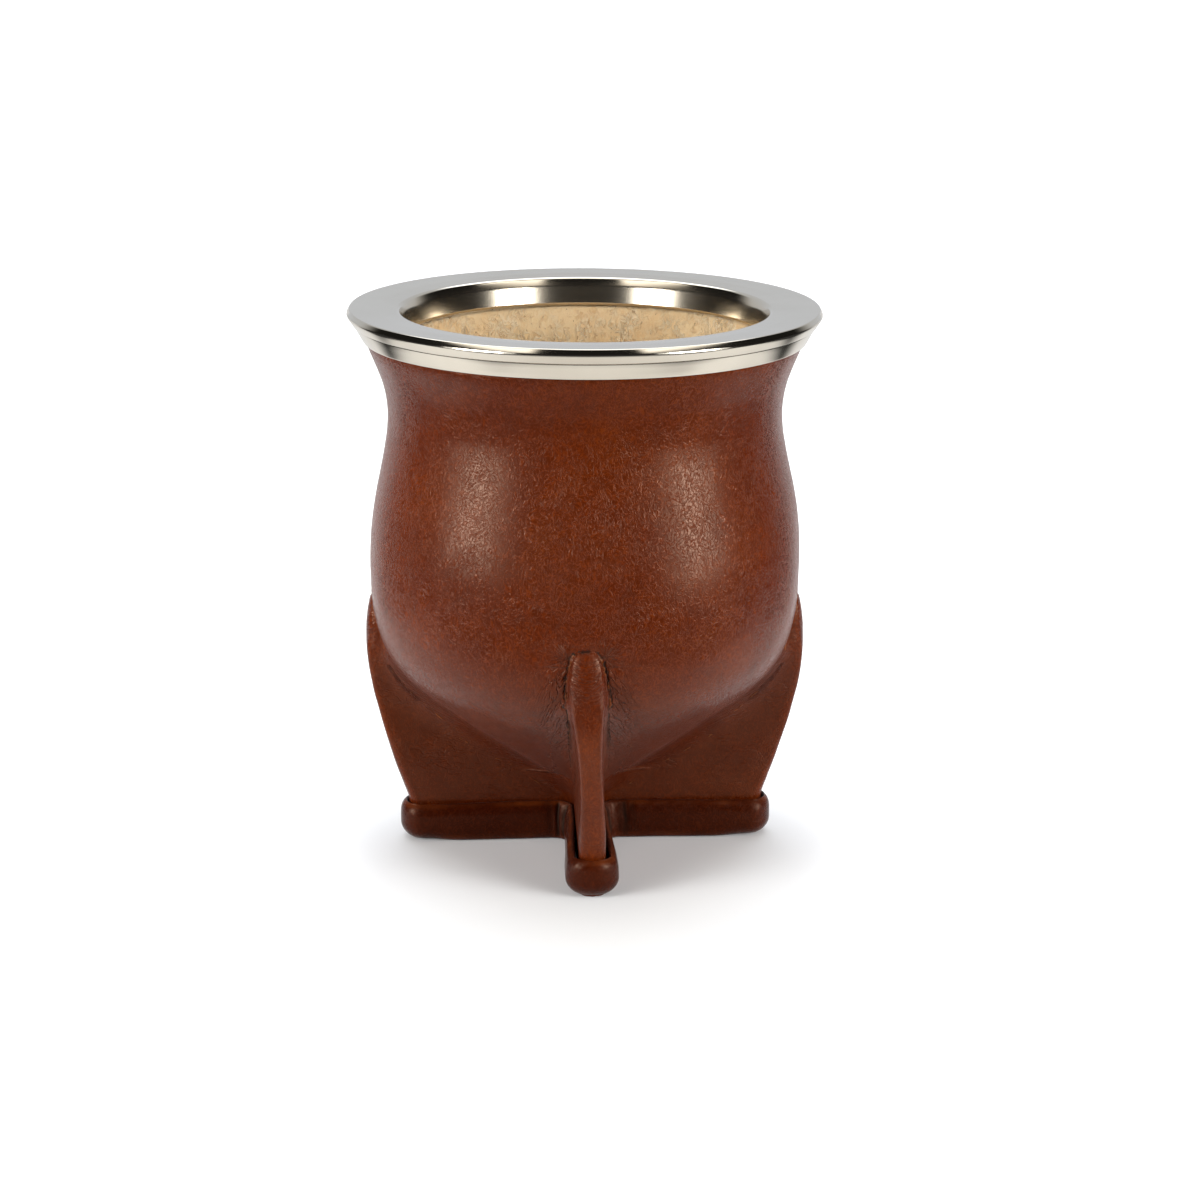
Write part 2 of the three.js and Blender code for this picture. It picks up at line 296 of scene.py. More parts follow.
def leather_cover():
    Z = levels_between([(0, 1.6), (6.5, 0.5), (24, 0.4), (33, 0.3), (54.5, 0.45), (60, 0.7), (98, 0.5), (COVER_TOP, 0)])
    rows = []
    last = None
    for z in Z:
        if z <= FIN_TOP:
            part = eighth(z)
            last = np.arctan2(part[:, 1], part[:, 0])
        else:
            even = float(smooth(FIN_TOP, FIN_TOP + 30, z))
            th = last + (np.linspace(0, math.pi / 4, len(last)) - last) * even
            part = np.stack([np.cos(th), np.sin(th)], 1) * float(body(z))
        rows.append(whole(part))
    P2 = np.array(rows)  # rows, cols, 2
    nr, nc = P2.shape[:2]
    zz = np.repeat(Z[:, None], nc, 1)
    P = np.dstack([P2, zz])
    # place of each point about its own fin: across, in mm, and which fin
    quarter = nc // 4
    col = (np.arange(nc) + quarter // 2) % nc
    fin = col // quarter  # 0: +X, 1: +Y, 2: -X, 3: -Y
    ca = np.round(np.cos(fin * math.pi / 2))
    sa = np.round(np.sin(fin * math.pi / 2))
    lx = P[..., 0] * ca + P[..., 1] * sa
    ly = -P[..., 0] * sa + P[..., 1] * ca
    R = body(zz)
    r2 = np.hypot(lx, ly)
    across = np.where(r2 > R * 1.002, ly, r2 * np.arctan2(ly, lx))
    side = np.sign(across)
    # distance outside the fin's root line; it closes in an arch over the fin's upper end
    rr = 2.1
    wr = root_half(np.minimum(zz, 50.4))
    qx, qz = np.abs(across) - (wr - rr), zz - (FIN_TOP + 0.1 - rr)
    d = np.hypot(np.maximum(qx, 0), np.maximum(qz, 0)) + np.minimum(np.maximum(qx, qz), 0) - rr
    N = ring_normals(P)
    flat = lambda a: a.reshape(-1)
    F1 = np.repeat(fin[None, :], nr, 0)
    disp = np.zeros_like(d)
    dark = np.zeros_like(d)
    # handmade unevenness
    low = fractal(P.reshape(-1, 3) / 26.0, 11, 2).reshape(d.shape)
    disp += 0.16 * low * smooth(8, 16, zz) * (1 - smooth(100, 105, zz))
    # the groove along the root of the fins
    groove_on = smooth(28, 37, zz)
    wob = noise(np.stack([flat(zz) / 1.6, flat(F1) * 7.0 + flat(side) * 2.3, np.zeros(d.size)], 1), 5).reshape(d.shape)
    dd = d + 0.2 * wob
    groove = np.exp(-((dd / 0.34) ** 2)) * groove_on * (1 - smooth(FIN_TOP + 1.2, FIN_TOP + 2.0, zz))
    sewn = np.where(fin[None, :] % 2 == 1, 1.0, 0.04) * np.ones_like(d)
    disp -= 0.16 * groove * sewn
    # signed way along the skin from the seam: over the skin below the arch, as the crow flies round it
    n8 = N_FACE + N_CORNER + N_SIDE + N_VALLEY + N_BODY + 1
    eighth_len = np.hypot(np.diff(P[:, :n8, 0], axis=1), np.diff(P[:, :n8, 1], axis=1))
    way = np.concatenate([np.zeros((nr, 1)), np.cumsum(eighth_len, 1)], 1)
    inside_seam = (d[:, :n8] < 0).sum(1)
    cross = np.array([w[min(k, n8 - 1)] for w, k in zip(way, np.maximum(inside_seam, 1))])
    part = way - cross[:, None]
    mirror = part[:, -2:0:-1]
    along = np.tile(np.concatenate([part, mirror], 1), (1, 4))
    seam = np.where(zz < 50.4, along, d)
    seam = np.where((zz > 11) & (zz < FIN_TOP + 3), np.clip(seam, -3, 4), 4.0)
    # pinholes of the stitches in the groove, each sunk and with painted shade in it
    rng = np.random.default_rng(7)
    for f in range(4):
        for s in (-1, 1):
            z = 29.5 + rng.uniform(0, 1)
            while z < FIN_TOP - 1.4:
                w = float(root_half(min(z, 49.5)))
                yy = s * (w + rng.uniform(-0.08, 0.2))
                sel = (F1 == f) & (np.abs(zz - z) < 1.5) & (np.abs(across - yy) < 1.5)
                rz, ry = rng.uniform(0.22, 0.45), rng.uniform(0.13, 0.2)
                e = np.exp(-(((zz[sel] - z) / rz) ** 2) - ((across[sel] - yy) / ry) ** 2)
                k = rng.uniform(0.6, 1.0)
                disp[sel] -= 0.22 * k * e * sewn[sel]
                dark[sel] += 0.8 * k * e
                z += rng.uniform(1.0, 1.75)
        # small holes at each fin's upper end, sunk and with painted shade in them
        for yy, z in ((-0.8, FIN_TOP + 0.05), (0.35, FIN_TOP + 0.1), (-3.2, FIN_TOP - 1.2), (3.2, FIN_TOP - 1.2)):
            yy += rng.uniform(-0.15, 0.15)
            sel = (F1 == f) & (np.abs(zz - z) < 1.5) & (np.abs(across - yy) < 1.8)
            e = np.exp(-(((zz[sel] - z) / 0.28) ** 2) - ((across[sel] - yy) / 0.42) ** 2)
            disp[sel] -= 0.25 * e
            dark[sel] += 1.0 * e
    # wrinkles beside the fins, running down and in
    da = np.maximum(d, 0)
    slope = 0.45
    along_w = zz - np.abs(across) * slope
    cross_w = np.abs(across) + zz * slope
    q = np.stack([flat(cross_w) / 1.05, flat(along_w) / 4.2, flat(F1) * 9.1 + flat(side) * 3.7], 1)
    q[:, 0] += 0.8 * noise(np.stack([flat(zz) / 2.6, flat(across) / 2.6, flat(F1) * 5.0], 1), 21)
    w1 = noise(q, 31).reshape(d.shape)
    ridged = 1 - 2 * np.abs(w1) ** 0.8
    mask = (d > -0.1) * np.exp(-da / 3.4) * smooth(24, 34, zz) * (1 - smooth(46, 52, zz))
    disp += 0.13 * ridged * mask
    # painted shade in the wrinkles' valleys
    dark += 0.12 * mask * np.clip(0.35 - ridged, 0, 1)
    fold_u = np.abs(across) / 0.95 + zz * slope / 0.95
    fold_v = along_w / 4.2 + F1 * 9.1 + side * 3.7
    fold = (d > 0.05) * np.exp(-da / 3.6) * smooth(22, 32, zz) * (1 - smooth(47.5, 50.5, zz))
    # rays from the upper corners of the fins
    cy, cz = 3.4, FIN_TOP - 1.2
    ay, az = np.abs(across) - cy, zz - cz
    rad = np.hypot(ay, az)
    ang = np.arctan2(az, ay)
    q = np.stack([flat(ang) * 3.6 + 40, flat(rad) / 5.0, flat(F1) * 9.1 + flat(side) * 3.7], 1)
    w2 = noise(q, 47).reshape(d.shape)
    ridged = 1 - 2 * np.abs(w2) ** 0.8
    mask = (d > 0.1) * np.exp(-(((rad - 1.6) / 2.3) ** 2)) * smooth(-1.6, -0.5, ang) * (1 - smooth(1.3, 2.2, ang)) * (np.abs(across) > 1.0)
    disp += 0.14 * ridged * mask
    # painted shade in the valleys of the rays
    dark += 0.1 * mask * np.clip(0.3 - ridged, 0, 1)
    over = zz > 49.6
    fold_u = np.where(over, ang * 3.4 + 40, fold_u)
    fold_v = np.where(over, rad / 4.5 + F1 * 9.1 + side * 3.7, fold_v)
    fold = np.where(over, np.maximum(fold, mask * 0.6), fold) * (0.35 + 0.65 * sewn)
    # the belly's slow folds above the fins
    mask = np.exp(-((across / 5.5) ** 2)) * smooth(FIN_TOP + 0.6, FIN_TOP + 1.3, zz) * (1 - smooth(FIN_TOP + 2.0, FIN_TOP + 4.5, zz))
    disp += 0.10 * mask * np.sin(zz * 4.2 + 0.25 * across**2 * 0.3 + 1.1 * noise(np.stack([flat(across) / 2.2, flat(zz) / 2.2, flat(F1) * 3.0], 1), 57).reshape(d.shape))
    # the outer faces round over towards the top, with small cross folds
    on_fin = (d < -0.2) * smooth(38, 44, zz)
    disp += 0.035 * on_fin * np.sin(zz * 9.5 + 0.55 * across**2 + 1.6 * noise(np.stack([flat(across) / 1.2, flat(zz) / 2.0, flat(F1) * 3.0], 1), 63).reshape(d.shape))
    face = d < -0.35
    fold_u = np.where(face, zz * 1.55 - 0.20 * across**2, fold_u)
    fold_v = np.where(face, across / 4.0 + F1 * 3.0, fold_v)
    fold = np.where(face, smooth(-0.35, -0.8, d) * smooth(40, 46, zz) * (1 - smooth(50.8, 52.2, zz)) * 0.36, fold)
    # the fins' side faces are a little wavy
    deep = smooth(1.5, 6, r2 - R) * smooth(9, 13, zz)
    disp += 0.10 * deep * fractal(P.reshape(-1, 3) / 9.0, 71, 2).reshape(d.shape)
    # towards the top each fin's outer face is one soft curve from crease to crease
    keep = (r2 > R * 1.0002) & (lx > 0)
    sink = np.where(keep, smooth(40, 46, zz) * ly * ly / 11.3, 0.0)
    belly_x = np.sqrt(np.maximum(R * R - ly * ly, 0)) + 0.02
    new_lx = np.where(keep, np.maximum(lx - sink, np.minimum(belly_x, lx)), lx)
    shift = new_lx - lx
    P[..., 0] += shift * ca
    P[..., 1] += shift * sa
    P = P + N * disp[..., None]
    # the fins' upper ends stand turned a little
    turn = TWIST * smooth(9, FIN_TOP, P[..., 2])
    c, s = np.cos(turn), np.sin(turn)
    P = np.dstack([P[..., 0] * c - P[..., 1] * s, P[..., 0] * s + P[..., 1] * c, P[..., 2]])
    P[0, :, 2] = 0
    # the upper edge turns in, and the inside runs down to a floor, all hidden by gourd and rim
    ang = np.arctan2(P[-1, :, 1], P[-1, :, 0])
    inner = [(42.6, 109.15), (41.75, 109.0)]
    for z in (106.5, 98, 88, 78, 68, 56, 45, 37):
        inner.append((float(body(z)) - 1.8, z))
    inner += [(27.25, 30.18), (17.75, 24.68), (7.75, 21.88)]
    rings = [np.stack([r * np.cos(ang), r * np.sin(ang), np.full(nc, z)], 1) for r, z in inner]
    V = np.concatenate([P.reshape(-1, 3)] + rings + [np.array([[0, 0, 0.0], [0, 0, 21.45]])])
    rows_all = nr + len(rings)
    faces = grid_faces(rows_all, nc)
    base, top = len(V) - 2, len(V) - 1
    faces += [[base, (i + 1) % nc, i] for i in range(nc)]
    o = (rows_all - 1) * nc
    faces += [[top, o + i, o + (i + 1) % nc] for i in range(nc)]
    ob = make_mesh("leather_bowl_cover", V, faces)
    me = ob.data
    # painted shade in the pinholes, the small holes and the wrinkles' valleys, kept as a point attribute for the colour
    darkness = np.zeros(len(V), np.float32)
    darkness[: nr * nc] = (np.clip(dark, 0, 1) * sewn).reshape(-1)
    at = me.attributes.new("crease_shade", "FLOAT", "POINT")
    at.data.foreach_set("value", darkness)
    # painted shade: the fins' side faces and the hollow under the belly, where little light reaches, are darkened, more
    # so lower down and less near the fins' outer edges
    shade = 0.42 * smooth(0.1, 0.9, r2 - R) * smooth(0.9, 2.2, np.abs(across)) * smooth(6, 9, zz)
    shade *= 0.4 + 0.6 * smooth(44, 33, zz)
    out = np.maximum(r2 - R, 0)
    hollow = np.exp(-((np.maximum(d, 0) / 4.2) ** 2) - (out / 3.4) ** 2) * smooth(8, 13, zz) * (1 - smooth(36, 45, zz))
    shade = np.maximum(shade, 0.6 * hollow)
    shade *= 1 - 0.65 * smooth(-1.2, -0.2, lx - (reach(np.minimum(zz, FIN_TOP)) - 0.9))
    glossy = smooth(43.5, 47, zz) * (1 - smooth(51.8, 52.6, zz)) * smooth(-0.2, -0.7, d)
    for name, values in (("fold_u", fold_u), ("fold_v", fold_v), ("fold", fold), ("shade", shade), ("seam", seam), ("sewn", sewn), ("glossy", glossy)):
        all_values = np.full(len(V), 4.0 if name == "seam" else 0.0, np.float32)
        all_values[: nr * nc] = np.broadcast_to(values, d.shape).reshape(-1)
        at = me.attributes.new(name, "FLOAT", "POINT")
        at.data.foreach_set("value", all_values)
    fin_mask = np.zeros(len(V), np.float32)
    fin_mask[: nr * nc] = (smooth(0.15, -0.25, d) * smooth(7, 9, zz)).reshape(-1)
    at = me.attributes.new("on_fin", "FLOAT", "POINT")
    at.data.foreach_set("value", fin_mask)
    return ob


# ---------------------------------------------------------------- foot strap
def foot_strap():
    H, T = STRAP_H, STRAP_T
    # the band's own section, from the floor up the outer face, over the edge and down the inner face
    prof = []
    prof += [(1.55, 0.0), (1.08, 0.12), (0.70, 0.36), (0.42, 0.72), (0.22, 1.2), (0.08, 1.8), (0.01, 2.5)]
    prof += [(0.0, z) for z in np.linspace(3.1, H - 2.6, 6)]
    prof += [(0.04, H - 2.0), (0.12, H - 1.45), (0.22, H - 0.95), (0.36, H - 0.52), (0.55, H - 0.2), (0.80, H - 0.02), (1.06, H), (1.28, H - 0.14), (T + 0.28, H - 0.42), (T + 0.30, H - 0.85)]
    prof += [(T + 0.24, H - 1.5), (T + 0.14, H - 2.3), (T + 0.05, 4.3), (T + 0.02, 3.4), (T + 0.1, 2.5)]
    prof += [(T + 0.4, 1.4), (T + 0.9, 0.5), (T + 1.3, 0.0)]
    ns, nv, nt = 44, 12, 16
    rows = []
    for inset, z in prof:
        u = z / H
        half = 5.0 + (4.2 - 5.0) * u - inset
        flare = 0.1 + 0.1 * u
        tip = STRAP_TIP - inset
        rho = 2.4 + inset
        toe = arc(tip - half, 0, half, 0, math.pi / 2, nt)
        side = np.linspace((tip - half, half), (half + rho, half), ns + 1)
        hollow = arc(half + rho, half + rho, rho, -math.pi / 2, -0.75 * math.pi, nv)
        part = np.concatenate([toe[:-1], side[:-1], hollow])
        if inset < T * 0.98 or z < 0.6:
            # the toes' lower edges are rounder than the arms'
            round_in = 1.35 * max(0.0, 1 - z / 3.4) ** 2 + 0.35 * max(0.0, 1 - (H - z) / 1.8) ** 2 * (inset < 0.9)
            mid_x = tip - half
            w = smooth(mid_x - 8, mid_x + 1, part[:, 0])
            far = np.maximum(part[:, 0] - mid_x, 0)
            reach_in = np.maximum(np.hypot(far, part[:, 1]), 1e-6)
            part[:, 1] -= round_in * w * part[:, 1] / reach_in
            part[:, 0] -= round_in * w * far / reach_in
        part[:, 1] *= 1 + flare * smooth(11, 33, part[:, 0])
        rows.append(whole(part))
    P2 = np.array(rows)
    nr, nc = P2.shape[:2]
    zz = np.repeat(np.array([p[1] for p in prof])[:, None], nc, 1)
    inset = np.repeat(np.array([p[0] for p in prof])[:, None], nc, 1)
    P = np.dstack([P2, zz])
    quarter = nc // 4
    col = (np.arange(nc) + quarter // 2) % nc
    fin = col // quarter
    ca, sa = np.round(np.cos(fin * math.pi / 2)), np.round(np.sin(fin * math.pi / 2))
    lx = P[..., 0] * ca + P[..., 1] * sa
    ly = -P[..., 0] * sa + P[..., 1] * ca
    F1 = np.repeat(fin[None, :], nr, 0)
    flat = lambda a: a.reshape(-1)
    du = np.roll(P, -1, 1) - np.roll(P, 1, 1)
    dv = np.roll(P, -1, 0) - np.roll(P, 1, 0)
    N = np.cross(du, dv)
    N /= np.maximum(np.linalg.norm(N, axis=2, keepdims=True), 1e-9)
    outer = smooth(0.7, 0.3, inset)
    dark = np.zeros(zz.shape)
    disp = 0.07 * fractal(P.reshape(-1, 3) / 8.0, 5, 2).reshape(zz.shape) * (zz > 0.01)
    # upright creases where the band turns from one arm to the next, with painted shade in them
    rng = np.random.default_rng(3)
    for f in range(4):
        for s in (-1, 1):
            x0 = 5.9 if (f, s) != (0, -1) else 8.3
            x0 += rng.uniform(-0.4, 0.4)
            for k, (off, deep, wide) in enumerate(((0, 0.34, 0.34), (1.1, 0.13, 0.4), (-1.0, 0.12, 0.42), (2.1, 0.08, 0.4))):
                lean = rng.uniform(-0.12, 0.12)
                wob = 0.25 * noise(np.stack([flat(zz) / 2.4, flat(zz) * 0 + f * 3.1 + k, flat(zz) * 0 + s], 1), 9).reshape(zz.shape)
                e = np.exp(-(((lx - x0 - off - lean * (zz - 4) - wob) / wide) ** 2)) * (np.sign(ly) == s) * (F1 == f) * outer
                e *= 1 if k == 0 else smooth(0.5, 2.5, zz)
                disp -= deep * e
                dark += (1.1 if k == 0 else 0.35) * e
    # small wrinkles near those creases and on the toes
    near = np.exp(-(((np.abs(lx) - 8) / 4.5) ** 2)) * outer
    q = np.stack([flat(lx) / 0.9, flat(zz) / 3.0, flat(F1) * 3.3 + flat(np.sign(ly)) * 1.7], 1)
    w = noise(q, 15).reshape(zz.shape)
    disp += 0.06 * near * (1 - 2 * np.abs(w))
    P = P + N * disp[..., None]
    # the band is a little taller at the cross and its lower edge arches there
    rad = np.hypot(P[..., 0], P[..., 1])
    mid = 1 - smooth(6, 34, rad)
    P[..., 2] += 0.32 * mid * smooth(4, H, zz)
    P[..., 2] += 0.25 * mid * (1 - smooth(0, 4, zz)) * outer
    P[..., 2] = np.maximum(P[..., 2], 0)
    V = P.reshape(-1, 3)
    ob = make_mesh("foot_band", V, grid_faces(nr, nc, close_rows=True))
    at = ob.data.attributes.new("crease_shade", "FLOAT", "POINT")
    at.data.foreach_set("value", np.clip(dark, 0, 1).reshape(-1).astype(np.float32))
    # painted highlight: the band's top edge and lower rounded edge are lighter in the colour
    at = ob.data.attributes.new("edge_highlight", "FLOAT", "POINT")
    edge_highlight_amount = smooth(H - 1.1, H - 0.35, zz) * smooth(1.15, 0.7, inset) + 0.45 * smooth(1.9, 0.6, zz) * smooth(2.4, 1.4, inset)
    edge_highlight_amount *= 0.75 + 0.5 * fractal(P.reshape(-1, 3) / 4.0, 25, 2).reshape(zz.shape)
    at.data.foreach_set("value", np.clip(edge_highlight_amount, 0, 1).reshape(-1).astype(np.float32))
    return ob


# ---------------------------------------------------------------- turned pieces
def rounded(points, step_turn=math.radians(9)):
    """A profile from (r, z, radius) corners with each corner rounded."""
    n = len(points)
    pts = [np.array(p[:2], float) for p in points]
    way, turn, cut = [], [], []
    for i in range(n):
        p, a, b = pts[i], pts[i - 1], pts[(i + 1) % n]
        u, v = (a - p) / np.linalg.norm(a - p), (b - p) / np.linalg.norm(b - p)
        ang = math.acos(max(-1, min(1, float(u @ v))))
        way.append((u, v))
        turn.append(ang)
        cut.append(points[i][2] / math.tan(ang / 2) if points[i][2] > 0 and ang < math.pi - 0.02 else 0.0)
    share = [1.0] * n
    for i in range(n):
        j = (i + 1) % n
        room = 0.96 * np.linalg.norm(pts[j] - pts[i])
        if cut[i] + cut[j] > room:
            k = room / (cut[i] + cut[j])
            share[i], share[j] = min(share[i], k), min(share[j], k)
    out = []
    for i in range(n):
        p, (u, v), ang, c_len = pts[i], way[i], turn[i], cut[i] * share[i]
        if c_len <= 0:
            out.append(tuple(p))
            continue
        rad = c_len * math.tan(ang / 2)
        s, e = p + u * c_len, p + v * c_len
        bis = (u + v) / np.linalg.norm(u + v)
        c = p + bis * math.hypot(c_len, rad)
        a0 = math.atan2(*(s - c)[::-1])
        a1 = math.atan2(*(e - c)[::-1])
        da = (a1 - a0 + math.pi) % (2 * math.pi) - math.pi
        k = max(2, int(abs(da) / step_turn) + 1)
        for j in range(k + 1):
            t = a0 + da * j / k
            out.append((c[0] + rad * math.cos(t), c[1] + rad * math.sin(t)))
    return out


def turned(name, profile, segments, bend=None):
    """A ring from a closed profile, outward when the profile runs counter-clockwise seen with r to the right and z up."""
    prof = np.array(profile)
    a = np.linspace(0, 2 * math.pi, segments, endpoint=False)
    P = np.stack([
        prof[:, None, 0] * np.cos(a)[None],
        prof[:, None, 0] * np.sin(a)[None],
        np.repeat(prof[:, 1][:, None], segments, 1),
    ], -1)
    if bend is not None:
        P = bend(P, a)
    return make_mesh(name, P.reshape(-1, 3), grid_faces(len(prof), segments, close_rows=True))


def rim():
    S, C, T, R, M = SKIRT_Z, COLLAR_Z, RIM_TOP, RIM_R, MOUTH_R
    t = 0.55
    corners = [
        (R - 3.02, S + 0.02, 0.15),
        (R - 2.86, S + 0.25, 0.5),
        (R - 1.36, S + 3.08, 0.05),
        (R - 1.34, S + 3.21, 0.03),  # fine step between the skirt's two bands
        (R - 1.00, S + 3.38, 0.10),
        (R - 0.12, T - 1.50, 0.22),
        (R + 0.02, T - 1.22, 0.2),
        (R + 0.02, T - 0.95, 0.3),
        (R - 0.50, T + 0.0, 0.35),
        (M + 5.2, T - 0.20, 20.0),
        (M + 0.95, T - 0.46, 0.9),
        (M + 0.1, T - 2.1, 2.4),
        (M - 0.70, C + 0.5, 0.5),
        (M - 0.68, C + 0.0, 0.12),
        (M - 0.68 + t, C + 0.03, 0.1),
        (M + 0.1 + t, T - 2.2, 1.2),
        (M + 1.6, T - 0.55 - t, 1.0),
        (R - 0.75, T - t - 0.1, 0.35),
        (R - 0.60, T - 1.35, 0.3),
        (R - 2.25, S + 3.3, 0.5),
        (R - 2.7, S + 2.2, 0.5),
        (R - 3.45, S + 0.1, 0.12),
    ]
    prof = rounded(corners, math.radians(7))
    dense = []
    for i, p in enumerate(prof):
        q = prof[(i + 1) % len(prof)]
        n = max(1, int(math.hypot(q[0] - p[0], q[1] - p[1]) / 0.9))
        dense += [(p[0] + (q[0] - p[0]) * k / n, p[1] + (q[1] - p[1]) * k / n) for k in range(n)]

    def bend(P, a):
        # the sheet is never quite true
        w = 0.035 * np.sin(3 * a + 0.6) + 0.025 * np.sin(5 * a + 2.0) + 0.015 * np.sin(9 * a)
        keep = smooth(SKIRT_Z, SKIRT_Z + 2, P[..., 2]) * (1 - smooth(T - 1.2, T - 0.3, P[..., 2]))
        k = 1 - (w[None] * keep * 0.6) / RIM_R
        P[..., 0] *= k
        P[..., 1] *= k
        # and it sits a third of a degree out of level
        P[..., 2] -= P[..., 0] * math.tan(math.radians(0.3))
        return P

    return turned("mouth_ring", dense, 224, bend)


def gourd():
    def outer(z):
        return float(body(z)) - 2.15

    inside = curve([
        (28.8, 9.0), (31.5, 20.2), (36, 28.2), (43, 34.1), (53, 37.5), (64, 38.05), (74, 36.7),
        (84, 34.4), (92, 33.9), (99, 35.0), (104.2, 36.0), (105.3, 36.2),
    ])
    prof = [(0.8, 28.2), (4.5, 28.35)]
    for z in list(np.linspace(28.8, 34, 9)) + list(np.linspace(35.2, 88, 48)) + list(np.linspace(88.8, 105.1, 34)):
        prof.append((float(inside(z)), z))
    prof += [(36.45, 105.45), (36.9, 105.55), (37.25, 105.6), (37.25, 109.6), (37.6, 109.7), (40.7, 109.7), (41.05, 109.4)]
    for z in (106.5, 98, 88, 78, 68, 56, 45, 37):
        prof.append((outer(z), z))
    prof += [(27.0, 30.5), (17.5, 25.0), (7.5, 22.2), (0.8, 21.85)]
    prof = prof[::-1]

    def bend(P, a):
        shape = P.shape
        q = P.reshape(-1, 3)
        inn = (np.hypot(q[:, 0], q[:, 1]) < inside(q[:, 2]) + 0.4) & (q[:, 2] > 28) & (q[:, 2] < 105.35)
        # dry inner skin: soft lumps, with finer fibre ridges that run upwards
        th = np.arctan2(q[:, 1], q[:, 0])
        fib = np.stack([np.cos(th) * 30, np.sin(th) * 30, q[:, 2] / 7.0], 1)
        h = 0.16 * fractal(q / 6.0, 81, 3) + 0.07 * noise(fib, 83) + 0.05 * noise(q / 1.4, 85)
        h = h * inn * smooth(105.3, 103.6, q[:, 2])
        rad = np.maximum(np.hypot(q[:, 0], q[:, 1]), 1e-6)
        k = 1 + np.minimum(h, 0.25) / rad * np.minimum(1, rad / 8)
        q = q * np.stack([k, k, np.ones_like(k)], 1)
        return q.reshape(shape)

    # a solid wall: it runs from the axis below, up the outside, over the cut edge and down the inside to the axis
    n, count = 176, len(prof)
    a = np.linspace(0, 2 * math.pi, n, endpoint=False)
    prof = np.array(prof)
    P = np.stack([
        prof[:, None, 0] * np.cos(a)[None],
        prof[:, None, 0] * np.sin(a)[None],
        np.repeat(prof[:, 1][:, None], n, 1),
    ], -1)
    verts = [tuple(v) for v in bend(P, a).reshape(-1, 3)]
    faces = grid_faces(count, n)
    first, last = len(verts), len(verts) + 1
    verts += [(0.0, 0.0, 21.85), (0.0, 0.0, 28.2)]
    for i in range(n):
        j = (i + 1) % n
        faces.append((first, j, i))
        faces.append((last, (count - 1) * n + i, (count - 1) * n + j))
    return make_mesh("gourd_wall", verts, faces)


cover = leather_cover()
band = foot_strap()
ring = rim()
wall = gourd()

# ---------------------------------------------------------------- materials
def nodes_of(name):
    m = bpy.data.materials.new(name)
    m.use_nodes = True
    nt = m.node_tree
    nt.nodes.clear()
    return m, nt


